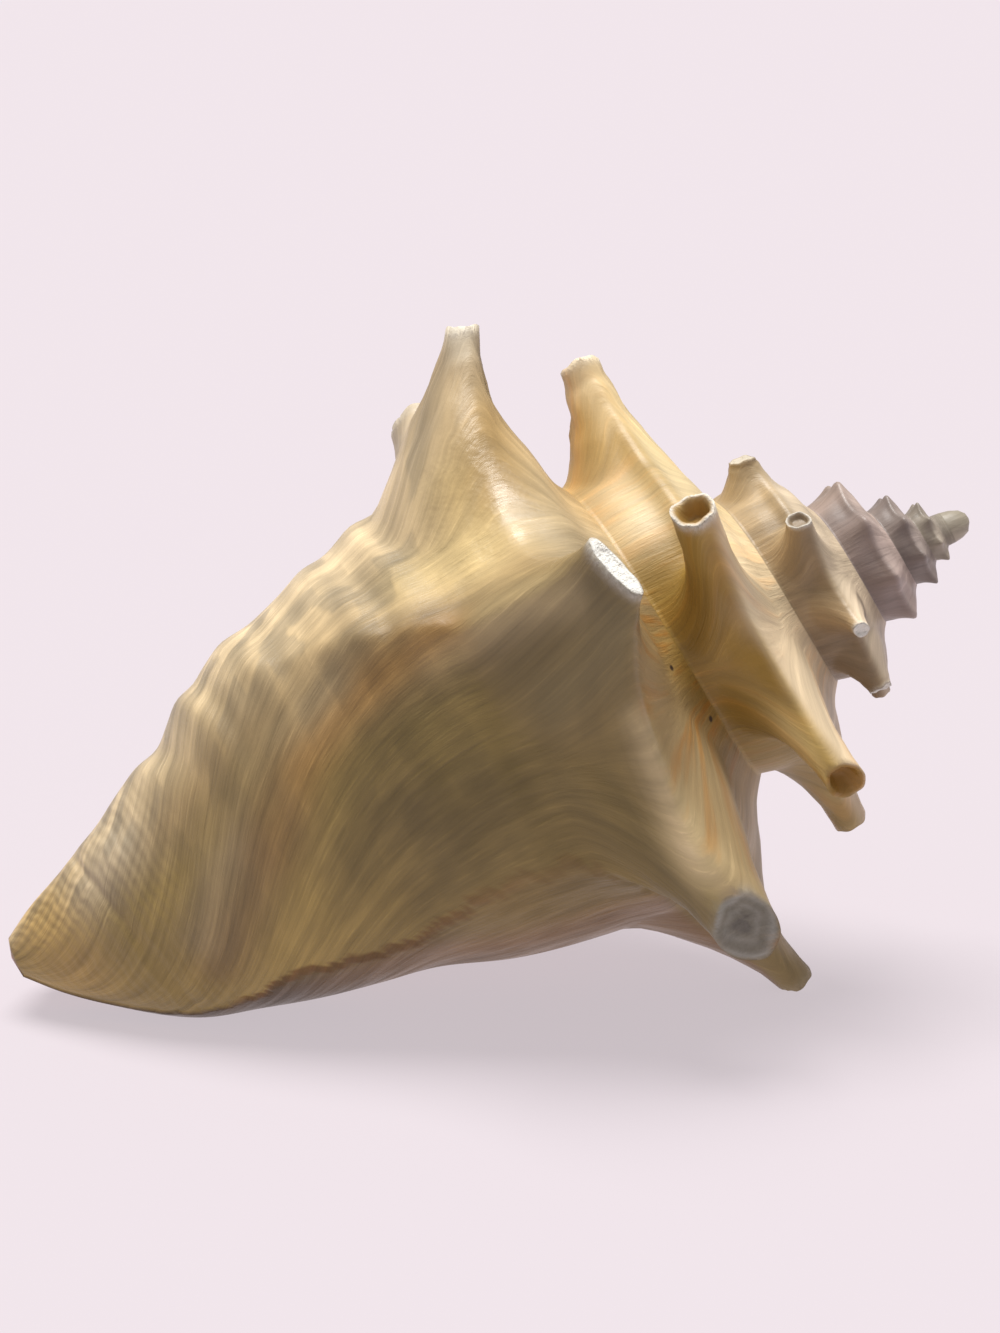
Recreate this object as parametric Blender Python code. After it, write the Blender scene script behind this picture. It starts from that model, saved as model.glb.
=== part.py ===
"""A queen conch shell, built as one closed body that rests on its worn low points."""
import math

import bmesh
import bpy
import numpy as np

MM = 0.001

# The spiral: where the suture lies at zero degrees, and how much it grows each turn.
GROWTH = 1.58
SUTURE_RADIUS = 37.8
SUTURE_DEPTH = 73.4
LENGTH = 236.0

# How the shell lies: its axis rises to the apex, and the face seen leans back a little.
AXIS_RISE = 23.12
LEAN = 15.0

# The mesh: columns in each turn, rows in the whorl strip and rows on to the front end.
COLUMNS = 60
STRIP_ROWS = 8
FRONT_ROWS = 18
SPIRE_TURNS = 4
JOIN = -200.0
CAVITY_STEPS = 9
WALL = 5.0
REST_DEPTH = 1.3
SHOULDER = 0.6

# One whorl from its suture to the next: share of the strip, radius and depth in sutures.
STRIP = [
    (0.00, 1.00, 1.00),
    (0.20, 1.16, 1.052),
    (0.42, 1.45, 1.124),
    (0.58, 1.60, 1.237),
    (0.80, 1.63, 1.42),
    (1.00, 1.58, 1.58),
]

# The body whorl on from the strip: depth, radius, drop of the centre, inner wall radius.
BODY = [
    (88.0, 54.0, 0.0, 46.5),
    (104.0, 52.8, 0.0, 43.0),
    (133.0, 49.3, 0.0, 31.0),
    (150.0, 44.6, 0.0, 21.0),
    (163.0, 42.0, 1.0, 15.0),
    (176.0, 38.0, 3.0, 13.0),
    (189.0, 31.5, 6.5, 12.0),
    (203.0, 25.9, 8.5, 11.0),
    (219.0, 16.4, 8.5, 9.0),
    (230.0, 9.4, 7.0, 6.5),
    (236.0, 4.5, 6.0, 4.0),
]

# The lip's free edge: place along the row, angle, radius and depth.
LIP = [
    (0.00, 160.0, 46.3, 90.0),
    (0.20, 163.0, 70.0, 80.0),
    (0.45, 171.0, 89.0, 86.0),
    (0.75, 183.0, 99.0, 104.0),
    (1.00, 192.0, 102.0, 128.0),
    (1.25, 195.4, 98.0, 152.0),
    (1.50, 192.5, 86.0, 177.0),
    (1.70, 191.0, 62.0, 199.0),
    (1.86, 189.0, 37.0, 216.0),
    (2.00, 188.0, 14.0, 233.0),
]

# Spines: turns back, angle, tip radius, tip depth, foot half widths, tip half widths, pit,
# how slender in front and behind, how far the end face turns to the viewer,
# how far round and how far forward the foot stands, and how deep the folds are.
SPINES = [
    (0, -104, 84.1, 76.0, 24.0, 21.0, 4.6, 4.2, 0.0, 0.3, 0.8, 0.0, 10, 0.10, 0.02),
    (0, -51, 78.0, 84.0, 24.0, 21.0, 9.4, 7.0, 0.8, 0.1, 0.2, 1.5, 18, 0.0, 0.02),
    (0, 14, 85.6, 80.5, 27.0, 22.0, 8.5, 2.4, 0.5, 0.1, 0.25, -0.3, -5, 0.0, 0.02),
    (0, 80, 84.6, 88.6, 28.0, 25.0, 4.3, 3.6, 0.6, -0.35, 1.1, 0.0, -10, 0.0, 0.05),
    (0, 127, 91.0, 107.0, 24.0, 22.0, 6.0, 6.0, 0.6, 0.3, 0.3, 0.0, 0, 0.0, 0.03),
    (1, -111, 56.5, 50.0, 15.0, 12.0, 4.0, 4.0, 0.5, 0.4, 0.5, 0.0, 8, 0.04, 0.02),
    (1, -46, 56.5, 51.5, 15.0, 13.0, 4.6, 4.4, 4.0, 0.7, 0.7, 1.2, 17, 0.0, 0.02),
    (1, 24, 63.3, 60.0, 14.0, 13.0, 5.1, 4.8, 4.5, 1.0, 1.1, 0.0, -18, 0.04, 0.02),
    (1, 90, 66.8, 67.3, 17.0, 15.5, 4.6, 4.6, 0.8, -0.1, 0.9, 0.0, -4, 0.05, 0.07),
    (1, 150, 64.0, 66.0, 17.0, 14.0, 4.5, 4.0, 0.5, 0.6, 0.6, 0.0, 0, 0.0, 0.04),
    (1, -160, 50.0, 50.0, 14.0, 12.0, 4.0, 4.0, 0.5, 0.4, 0.4, 0.0, 0, 0.0, 0.02),
    (2, 77, 33.3, 42.5, 8.8, 7.5, 3.0, 3.0, 0.3, 0.0, 0.4, 0.0, 0, 0.10, 0.04),
    (2, 27, 33.0, 38.0, 8.4, 7.4, 2.9, 2.7, 1.0, 0.4, 0.4, 0.0, -8, 0.05, 0.02),
    (2, -22, 33.0, 34.8, 8.2, 7.2, 2.0, 1.9, 0.3, 0.2, 0.2, 0.0, 6, 0.0, 0.02),
    (2, -62, 30.0, 34.6, 8.6, 7.4, 2.8, 2.6, 0.3, 0.0, 0.0, 0.0, 6, 0.03, 0.02),
    (2, -106, 29.6, 33.0, 8.0, 7.0, 2.2, 2.2, 0.3, 0.2, 0.2, 0.0, 0, 0.0, 0.02),
    (2, -152, 31.0, 33.6, 8.0, 7.0, 2.0, 2.0, 0.3, 0.3, 0.3, 0.0, 0, 0.0, 0.02),
    (2, 122, 35.0, 43.0, 8.5, 7.5, 2.4, 2.4, 0.3, 0.2, 0.2, 0.0, 0, 0.0, 0.02),
    (2, 168, 36.0, 45.0, 8.5, 7.5, 2.4, 2.4, 0.3, 0.2, 0.2, 0.0, 0, 0.0, 0.02),
]

# Long low ridges that run forward from a spine: angle, depth, height, half width.
RIDGES = [
    [(13, 95, 7.0, 9), (20, 108, 7.0, 10), (29, 127, 5.5, 11), (39, 146, 3.5, 12), (50, 166, 1.5, 12)],
    [(76, 104, 4.0, 12), (84, 120, 2.5, 13), (92, 138, 1.0, 12)],
    [(-44, 96, 4.0, 8), (-40, 108, 3.0, 9), (-34, 122, 1.5, 9)],
]


def smooth(value):
    value = np.clip(value, 0.0, 1.0)
    return value * value * (3.0 - 2.0 * value)


def through(points, where):
    """The other columns of a table at the places asked, on a smooth curve through its rows."""
    table = np.array(points, float)
    at = table[:, 0]
    slopes = np.gradient(table[:, 1:], at, axis=0)
    where = np.clip(np.asarray(where, float), at[0], at[-1])
    low = np.clip(np.searchsorted(at, where, side="right") - 1, 0, len(at) - 2)
    width = at[low + 1] - at[low]
    part = ((where - at[low]) / width)[..., None]
    width = width[..., None]
    start = table[low, 1:]
    end = table[low + 1, 1:]
    return (
        (2 * part**3 - 3 * part**2 + 1) * start
        + (part**3 - 2 * part**2 + part) * width * slopes[low]
        + (3 * part**2 - 2 * part**3) * end
        + (part**3 - part**2) * width * slopes[low + 1]
    )


def suture(angle):
    grown = GROWTH ** (angle / 360.0)
    return SUTURE_RADIUS * grown, SUTURE_DEPTH * grown


def polar(angle, radius, depth, drop=0.0):
    """A point: towards the viewer, across the axis, and along it from the apex."""
    turn = np.radians(angle)
    return np.stack(
        [radius * np.cos(turn), radius * np.sin(turn) - drop, depth + 0.0 * radius], -1
    )


def whorl(angle, row):
    """The plain shell before spines and lip: row 0 is the suture, 1 the next, 2 the tip."""
    angle, row = np.broadcast_arrays(np.asarray(angle, float), np.asarray(row, float))
    radius0, depth0 = suture(angle)
    strip = through(STRIP, np.minimum(row, 1.0))
    narrowing = 1.0 - 0.24 * smooth((angle + 90.0) / 180.0)
    narrowing += 0.20 * smooth((angle - 100.0) / 90.0)
    share = smooth(np.minimum(row, 1.0))
    radius = radius0 * strip[..., 0] * (1.0 + (narrowing - 1.0) * share)
    depth = depth0 * strip[..., 1]
    on_strip = polar(angle, radius, depth)

    onward = np.clip(row - 1.0, 0.0, 1.0)
    start_depth = depth0 * GROWTH
    body_depth = start_depth + (LENGTH - start_depth) * (onward + 0.12 * np.sin(math.pi * onward))
    section = through(BODY, body_depth)
    inward = smooth((-92.0 - angle) / 108.0)
    body_radius = section[..., 0] * (1 - inward) + section[..., 2] * inward
    body_radius *= 1.0 + 0.10 * smooth((angle - 100.0) / 90.0)
    first = through(BODY, start_depth)
    first_radius = first[..., 0] * (1 - inward) + first[..., 2] * inward
    first_radius *= 1.0 + 0.10 * smooth((angle - 100.0) / 90.0)
    start_radius = radius0 * GROWTH * narrowing
    body_radius += (start_radius - first_radius) * (1.0 - smooth(onward / 0.35))
    on_body = polar(angle, body_radius, body_depth, section[..., 1])
    return np.where((row <= 1.0)[..., None], on_strip, on_body)


def outer(angle, row):
    """The whorl with the growth edge leant forward and the last of it flared into the lip."""
    angle, row = np.broadcast_arrays(np.asarray(angle, float), np.asarray(row, float))
    edge = through(LIP, row)
    turned = stretched(angle, row)
    base = whorl(turned, row)
    target = polar(edge[..., 0], edge[..., 1], edge[..., 2])
    flare = np.clip((turned - 125.0) / (edge[..., 0] - 125.0), 0.0, 1.0) ** 1.9
    at_edge = whorl(edge[..., 0], row)
    return base + flare[..., None] * (target - at_edge)


def normals(angle, row):
    """Unit normals of the outer surface, pointing out."""
    along = outer(angle + 0.6, row) - outer(angle - 0.6, row)
    across = outer(angle, np.minimum(row + 0.01, 2.0)) - outer(angle, np.maximum(row - 0.01, 0.0))
    found = np.cross(along, across)
    return found / np.maximum(np.linalg.norm(found, axis=-1, keepdims=True), 1e-9)


def raise_ridges(points, outward, sheet):
    """Lift the rounded crest along the shoulder and the ridges that run from the spines."""
    crest = np.exp(-(((sheet[:, 1] - SHOULDER) / 0.06) ** 2))
    size = suture(sheet[:, 0])[0] / SUTURE_RADIUS
    fade = 1.0 - smooth((sheet[:, 0] - 110.0) / 40.0)
    fade = fade * (1.0 - 0.85 * np.exp(-(((sheet[:, 0] - 54.0) / 24.0) ** 2)))
    moved = points + outward * (3.0 * crest * size * fade)[:, None]
    for ridge in RIDGES:
        path = np.array(ridge, float)
        lift = np.zeros(len(points))
        for first, second in zip(path[:-1], path[1:]):
            for share in np.linspace(0.0, 1.0, 8):
                angle, depth, height, width = first + (second - first) * share
                centre = whorl_at(angle, depth)
                gap = np.linalg.norm(points - centre, axis=1) / width
                lift = np.maximum(lift, height * np.exp(-1.2 * gap**1.4))
        moved += outward * lift[:, None]
    return moved


def whorl_at(angle, depth):
    """The plain surface point of the body whorl at this angle and depth."""
    rows = np.linspace(0.3, 2.0, 120)
    line = outer(np.full(120, float(angle)), rows)
    return line[np.argmin(np.abs(line[:, 2] - depth))]


def stretched(angle, row):
    """Where a column lies once the growth edge leans forward."""
    edge = through(LIP, row)
    last = JOIN + 360.0
    return angle + (edge[..., 0] - last) * smooth((angle - 50.0) / (last - 50.0) * 0.5) * 2.0


def spine_foot(spine):
    """Where a spine stands: its column, the surface axes there and the room round it."""
    turns, angle, _, _, _, foot_s = spine[:6]
    foot_shift, foot_row = spine[12], SHOULDER + spine[13]
    foot_angle = angle + foot_shift - 360.0 * turns
    if turns == 0:
        columns = np.linspace(JOIN, JOIN + 360.0, 361)
        turned = stretched(columns, np.full(361, foot_row))
        foot_angle = np.interp(angle + foot_shift, turned, columns)
    foot = outer(np.array(foot_angle), np.array(foot_row))
    u_axis = outer(np.array(foot_angle + 1.0), np.array(foot_row)) - foot
    per_degree = np.linalg.norm(u_axis)
    s_axis = outer(np.array(foot_angle), np.array(foot_row + 0.06))
    s_axis = s_axis - outer(np.array(foot_angle), np.array(foot_row - 0.06))
    rows = np.linspace(0.0, 2.0, 401)
    line = outer(np.full(401, foot_angle), rows)
    run = np.concatenate([[0.0], np.cumsum(np.linalg.norm(np.diff(line, axis=0), axis=1))])
    run -= np.interp(foot_row, rows, run)
    front = foot_s if turns == 0 else min(foot_s, 0.96 * np.interp(1.0, rows, run))
    return {
        "angle": foot_angle,
        "foot": foot,
        "per_degree": per_degree,
        "u_axis": u_axis / per_degree,
        "s_axis": s_axis / np.linalg.norm(s_axis),
        "rows": rows,
        "run": run,
        "behind": min(foot_s, -0.96 * run[0]),
        "front": front,
    }


def away_from_foot(spine, base, sheet):
    """How far each point is: 0 under the tip, 1 at the edge of the foot."""
    x = (sheet[:, 0] - base["angle"]) * base["per_degree"]
    y = np.interp(sheet[:, 1], base["rows"], base["run"])
    reach = np.where(y < 0, base["behind"], base["front"])
    across, along = np.abs(x / spine[4]), np.abs(y / reach)
    away = np.hypot(across, along)
    crested = (across**1.6 + along**1.6) ** (1 / 1.6)
    share = smooth((away - 0.34) / 0.3) * (1.0 - smooth((away - 0.7) / 0.3))
    return x, y, reach, away + (crested - away) * share


def draw_spine(points, sheet, spine):
    """Gather the surface round the spine's foot and carry it out to the tip."""
    _, angle, radius, depth, foot_u, foot_s, tip_u, tip_s, pit = spine[:9]
    slim_front, slim_back, face_turn = spine[9:12]
    base = spine_foot(spine)
    foot, u_axis, s_axis = base["foot"], base["u_axis"], base["s_axis"]
    tip = polar(np.array(float(angle)), np.array(float(radius)), np.array(float(depth)))
    core = (tip - foot) / np.linalg.norm(tip - foot)
    face = core + np.array([face_turn, 0.0, 0.0])
    face /= np.linalg.norm(face)
    tip_uaxis = u_axis - face * (u_axis @ face)
    tip_uaxis /= np.linalg.norm(tip_uaxis)
    tip_saxis = s_axis - face * (s_axis @ face)
    tip_saxis /= np.linalg.norm(tip_saxis)

    x, y, reach, away = away_from_foot(spine, base, sheet)
    near = (away < 1.0) & (np.abs(sheet[:, 0] - base["angle"]) < 75.0)
    x, y, reach, away = x[near], y[near], reach[near], away[near]
    flat = 0.28
    away = np.where(np.abs(away - flat) < 0.06, flat, away)
    climb = np.clip((1.0 - away) / (1.0 - flat), 0.0, 1.0)
    side = smooth(y / reach * 0.5 + 0.5)
    slim = slim_back + (slim_front - slim_back) * side
    gather = 1.0 - (1.0 - climb) ** (1.3 + 1.3 * slim)
    weight = (climb ** (1.5 - 0.1 * slim))[:, None]
    unit = np.maximum(np.hypot(x / foot_u, y / reach), 1e-6)
    wide_u = np.where(away < flat, tip_u * away / flat, foot_u + (tip_u - foot_u) * gather)
    wide_s = np.where(away < flat, tip_s * away / flat, reach + (tip_s - reach) * gather)
    new_x = x / foot_u / unit * wide_u
    new_y = y / reach / unit * wide_s
    turned = base["angle"] + new_x / base["per_degree"]
    low = outer(turned, np.interp(new_y, base["run"], base["rows"]))
    sunk = pit * smooth((flat * 0.78 - away) / (flat * 0.26))
    high = tip + new_x[:, None] * tip_uaxis + new_y[:, None] * tip_saxis - sunk[:, None] * core
    moved = points.copy()
    index = np.flatnonzero(near)
    plain = outer(sheet[index, 0], sheet[index, 1])
    raised = (points[index] - plain) * (1.0 - weight)
    moved[index] = raised + low * (1.0 - weight) + high * weight
    return moved


def nub_spines():
    """Small knobs on the last turns of the spire, about eight to a turn."""
    found = []
    for turn in (3, 4, 5):
        for place in range(8):
            angle = 75.0 - 46.0 * place
            if angle < -180.0:
                angle += 360.0
            around = angle - 360.0 * turn
            if around < JOIN - 360.0 * SPIRE_TURNS + 30.0 or around > JOIN - 720.0:
                continue
            found.append(around)
    return found


def draw_nub(points, origin, around):
    foot = whorl(around, 0.6)
    radius0, _ = suture(around)
    size = 0.44 * radius0
    angle = math.radians(around)
    out = np.array([math.cos(angle), math.sin(angle), -0.35])
    out /= np.linalg.norm(out)
    gap = np.linalg.norm(origin - foot, axis=1) / size
    return points + (out * 0.25 * radius0) * np.exp(-(gap**2) * 1.9)[:, None]


def finer_sheet(sheet, quads):
    """The sheet with smaller faces where the end of a spine is drawn."""
    grid = bmesh.new()
    for angle, row in sheet:
        grid.verts.new((angle, row, 0.0))
    grid.verts.ensure_lookup_table()
    for quad in quads:
        grid.faces.new([grid.verts[k] for k in quad])
    corners = np.array(quads)
    centres = sheet[corners].mean(axis=1)
    whole = np.ptp(sheet[corners][:, :, 0], axis=1) < 10.0
    chosen = set()
    for spine in SPINES:
        _, _, _, away = away_from_foot(spine, spine_foot(spine), centres)
        chosen.update(np.flatnonzero((away < 0.45) & whole).tolist())
    grid.faces.ensure_lookup_table()
    edges = {edge for k in chosen for edge in grid.faces[k].edges}
    bmesh.ops.subdivide_edges(grid, edges=list(edges), cuts=1, use_grid_fill=True)
    grid.verts.index_update()
    finer = np.array([(vert.co.x, vert.co.y) for vert in grid.verts])
    faces = [tuple(vert.index for vert in face.verts) for face in grid.faces]
    grid.free()
    return finer, faces


def shell_mesh():
    """Points and faces of the whole shell in its own axes, in millimetres."""
    last = COLUMNS * (SPIRE_TURNS + 1)
    join = COLUMNS * SPIRE_TURNS
    rows = STRIP_ROWS + FRONT_ROWS
    row_at = np.concatenate(
        [np.linspace(0, 1, STRIP_ROWS + 1), 1 + np.linspace(0, 1, FRONT_ROWS + 1)[1:]]
    )
    first_angle = JOIN - 360.0 * SPIRE_TURNS
    angle_at = first_angle + 360.0 / COLUMNS * np.arange(last + 1)

    number = -np.ones((last + 1, rows + 1), int)
    sheet = []
    for j in range(last + 1):
        for i in range(rows + 1):
            if i > STRIP_ROWS and j < join:
                continue
            if i == 0 and j >= COLUMNS:
                number[j, 0] = number[j - COLUMNS, STRIP_ROWS]
                continue
            number[j, i] = len(sheet)
            sheet.append((angle_at[j], row_at[i]))
    sheet = np.array(sheet)
    faces = []
    for j in range(last):
        top = rows if j >= join else STRIP_ROWS
        for i in range(top):
            faces.append((number[j, i], number[j + 1, i], number[j + 1, i + 1], number[j, i + 1]))
    sheet, faces = finer_sheet(sheet, faces)
    origin = outer(sheet[:, 0], sheet[:, 1])
    outward = normals(sheet[:, 0], sheet[:, 1])
    skin = raise_ridges(origin, outward, sheet)
    for spine in SPINES:
        skin = draw_spine(skin, sheet, spine)
    for around in nub_spines():
        skin = draw_nub(skin, origin, around)

    points = [tuple(p) for p in skin]

    # The blunt apex closes the first turn.
    ring = [number[j, 0] for j in range(COLUMNS + 1)]
    ring += [number[0, i] for i in range(STRIP_ROWS - 1, 0, -1)]
    start = skin[ring]
    middle = start.mean(axis=0)
    for wide, high in ((0.9, 0.5), (0.6, 0.15)):
        place = middle + (start - middle) * wide
        place[:, 2] = high * start[:, 2]
        ids = list(range(len(points), len(points) + len(place)))
        points += [tuple(p) for p in place]
        for k in range(len(ring)):
            after = (k + 1) % len(ring)
            faces.append((ring[after], ring[k], ids[k], ids[after]))
        ring = ids
    peak = len(points)
    points.append((middle[0], middle[1], 0.0))
    for k in range(len(ring)):
        after = (k + 1) % len(ring)
        faces.append((ring[after], ring[k], peak))

    # The hollow behind the lip: rings that start inside the lip and run back up the whorl.
    wall_rows = list(range(rows, STRIP_ROWS, -1))
    rings = []
    for step in range(CAVITY_STEPS + 1):
        back = step / CAVITY_STEPS
        angle = (JOIN + 360.0) * (1 - back) + 20.0 * back
        reach = row_at[: rows + 1] * (1.0 - 0.30 * smooth(back * 2.5) * row_at / 2.0)
        here = outer(np.full(rows + 1, angle), reach)
        facing = normals(np.full(rows + 1, angle), np.maximum(reach, 0.02))
        size = np.hypot(here[:, 0], here[:, 1] + through(BODY, here[:, 2])[:, 1])
        thick = np.minimum(WALL + 1.5 * (1 - back), 0.26 * size)
        inside = here - facing * thick[:, None]
        ids = []
        if step == 0:
            ids.append(number[last, 0])
        else:
            ids.append(len(points))
            points.append(tuple(inside[0]))
        for i in range(1, rows + 1):
            ids.append(len(points))
            points.append(tuple(inside[i]))
        for i in wall_rows:
            if step == 0:
                ids.append(number[join, i])
                continue
            start = origin[number[join, i]]
            drop = through(BODY, start[2])[1]
            radius = math.hypot(start[0], start[1] + drop)
            onward = row_at[i] - 1.0
            radius *= 1.0 - 0.12 * back * (1 - onward)
            deep = start[2] * (1.0 - 0.10 * back * (1 - onward))
            deep -= (0.30 * smooth(back * 2.5)) * onward * (start[2] - 120.0) * 0.55
            turn = JOIN - 140.0 * back
            ids.append(len(points))
            points.append(tuple(polar(turn, np.array(radius), np.array(deep), drop)))
        rings.append(ids)
    for first, second in zip(rings[:-1], rings[1:]):
        count = len(first)
        for k in range(count):
            after = (k + 1) % count
            faces.append((first[after], first[k], second[k], second[after]))
    centre = len(points)
    points.append(tuple(np.mean([points[k] for k in rings[-1]], axis=0)))
    for k in range(len(rings[-1])):
        after = (k + 1) % len(rings[-1])
        faces.append((rings[-1][after], rings[-1][k], centre))

    # The lip's rounded rim joins the outer skin to the first ring of the hollow.
    outside = [number[last, i] for i in range(rows + 1)]
    within = rings[0][: rows + 1]
    middle_ids = []
    for i in range(1, rows + 1):
        a = np.array(points[outside[i]])
        b = np.array(points[within[i]])
        before = outer(np.array(JOIN + 354.0), np.array(row_at[i]))
        forward = a - before
        forward /= np.linalg.norm(forward)
        middle_ids.append(len(points))
        points.append(tuple((a + b) / 2 + forward * 0.35 * np.linalg.norm(b - a)))
    middle_ids.insert(0, outside[0])
    for line, other in ((outside, middle_ids), (middle_ids, within)):
        for i in range(rows):
            face = [line[i], other[i], other[i + 1], line[i + 1]]
            face = [face[k] for k in range(4) if face[k] != face[k - 1]]
            if len(face) > 2:
                faces.append(tuple(face))

    # The front end is closed round its own tip.
    rim = [number[j, rows] for j in range(join, last + 1)]
    rim += [middle_ids[-1], within[-1]]
    tip = len(points)
    middle = np.mean([points[k] for k in rim], axis=0)
    points.append((middle[0], middle[1], middle[2] + 1.5))
    for k in range(len(rim)):
        after = (k + 1) % len(rim)
        faces.append((rim[k], rim[after], tip))
    return np.array(points), faces


def to_world(points):
    """Turn the shell's own axes (view, across, along) into the way it lies."""
    rise = math.radians(AXIS_RISE)
    lean = math.radians(LEAN)
    up = np.array([0.0, math.sin(lean), math.cos(lean)])
    right = np.array([1.0, 0.0, 0.0])
    view = np.array([0.0, -math.cos(lean), math.sin(lean)])
    apexward = math.cos(rise) * right + math.sin(rise) * up
    across = -math.sin(rise) * right + math.cos(rise) * up
    return points[:, :1] * view + points[:, 1:2] * across - points[:, 2:3] * apexward


def clear_scene():
    for obj in list(bpy.data.objects):
        bpy.data.objects.remove(obj, do_unlink=True)


def make_shell():
    points, faces = shell_mesh()
    world = to_world(points)
    ground = np.sort(world[:, 2])[:1].mean() + REST_DEPTH
    world[:, 2] = np.maximum(world[:, 2] - ground, 0.0)
    world[:, 0] -= (world[:, 0].min() + world[:, 0].max()) / 2
    world[:, 1] -= (world[:, 1].min() + world[:, 1].max()) / 2
    mesh = bpy.data.meshes.new("shell")
    mesh.from_pydata([tuple(p * MM) for p in world], [], [tuple(int(k) for k in f) for f in faces])
    mesh.validate()
    mesh.shade_smooth()
    shell = bpy.data.objects.new("shell", mesh)
    bpy.context.scene.collection.objects.link(shell)
    material = bpy.data.materials.new("shell cream")
    material.use_nodes = True
    bsdf = material.node_tree.nodes["Principled BSDF"]
    bsdf.inputs["Base Color"].default_value = (0.62, 0.47, 0.29, 1.0)
    bsdf.inputs["Roughness"].default_value = 0.4
    bsdf.inputs["Metallic"].default_value = 0.0
    mesh.materials.append(material)


clear_scene()
make_shell()
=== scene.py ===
import math
import bmesh
import bpy
import numpy as np
from mathutils import Matrix, Vector


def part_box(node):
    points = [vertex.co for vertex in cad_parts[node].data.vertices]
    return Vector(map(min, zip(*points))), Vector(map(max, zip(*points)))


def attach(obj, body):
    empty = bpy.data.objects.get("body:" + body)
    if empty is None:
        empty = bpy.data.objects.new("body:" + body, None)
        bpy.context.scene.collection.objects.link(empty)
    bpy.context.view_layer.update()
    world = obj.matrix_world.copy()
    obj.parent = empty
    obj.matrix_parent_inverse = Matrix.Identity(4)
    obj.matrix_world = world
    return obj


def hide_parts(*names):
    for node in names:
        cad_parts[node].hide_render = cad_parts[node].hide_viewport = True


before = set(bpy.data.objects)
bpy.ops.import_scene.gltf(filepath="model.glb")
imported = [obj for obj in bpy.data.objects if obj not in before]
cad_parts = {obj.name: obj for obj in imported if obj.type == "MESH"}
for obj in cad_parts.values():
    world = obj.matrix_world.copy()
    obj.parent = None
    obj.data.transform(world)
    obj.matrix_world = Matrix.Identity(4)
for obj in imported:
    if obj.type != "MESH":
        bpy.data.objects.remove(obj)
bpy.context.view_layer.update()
print("frame loaded")

# how the shell grew, in mm and degrees: the same spiral as the solid's
growth = {
    "perTurn": 1.58,
    "sutureRadius": 37.8,
    "sutureDepth": 73.4,
    "length": 236.0,
    "axisRise": 23.12,
    "lean": 15.0,
    "join": -200.0,
    "turns": 5,
    "columns": 216,
    "stripRows": 38,
    "frontRows": 100,
    "hollowSteps": 30,
    "wall": 5.0,
    "shoulder": 0.6,
}

# share of the strip, radius and depth in sutures
stripShape = [
    (0.00, 1.00, 1.00),
    (0.20, 1.16, 1.052),
    (0.42, 1.45, 1.124),
    (0.58, 1.60, 1.237),
    (0.80, 1.63, 1.42),
    (1.00, 1.58, 1.58),
]

# depth, radius, drop of the centre, inner wall radius
bodyShape = [
    (88.0, 54.0, 0.0, 46.5),
    (104.0, 52.8, 0.0, 43.0),
    (133.0, 49.3, 0.0, 31.0),
    (150.0, 44.6, 0.0, 21.0),
    (163.0, 42.0, 1.0, 15.0),
    (176.0, 38.0, 3.0, 13.0),
    (189.0, 31.5, 6.5, 12.0),
    (203.0, 25.9, 8.5, 11.0),
    (219.0, 16.4, 8.5, 9.0),
    (230.0, 9.4, 7.0, 6.5),
    (236.0, 4.5, 6.0, 4.0),
]

# place along the row, angle, radius and depth of the free edge
lipShape = [
    (0.00, 160.0, 46.3, 90.0),
    (0.20, 163.0, 70.0, 80.0),
    (0.45, 171.0, 89.0, 86.0),
    (0.75, 183.0, 99.0, 104.0),
    (1.00, 192.0, 102.0, 128.0),
    (1.25, 195.4, 98.0, 152.0),
    (1.50, 192.5, 86.0, 177.0),
    (1.70, 191.0, 62.0, 199.0),
    (1.86, 189.0, 37.0, 216.0),
    (2.00, 188.0, 14.0, 233.0),
]

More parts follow.
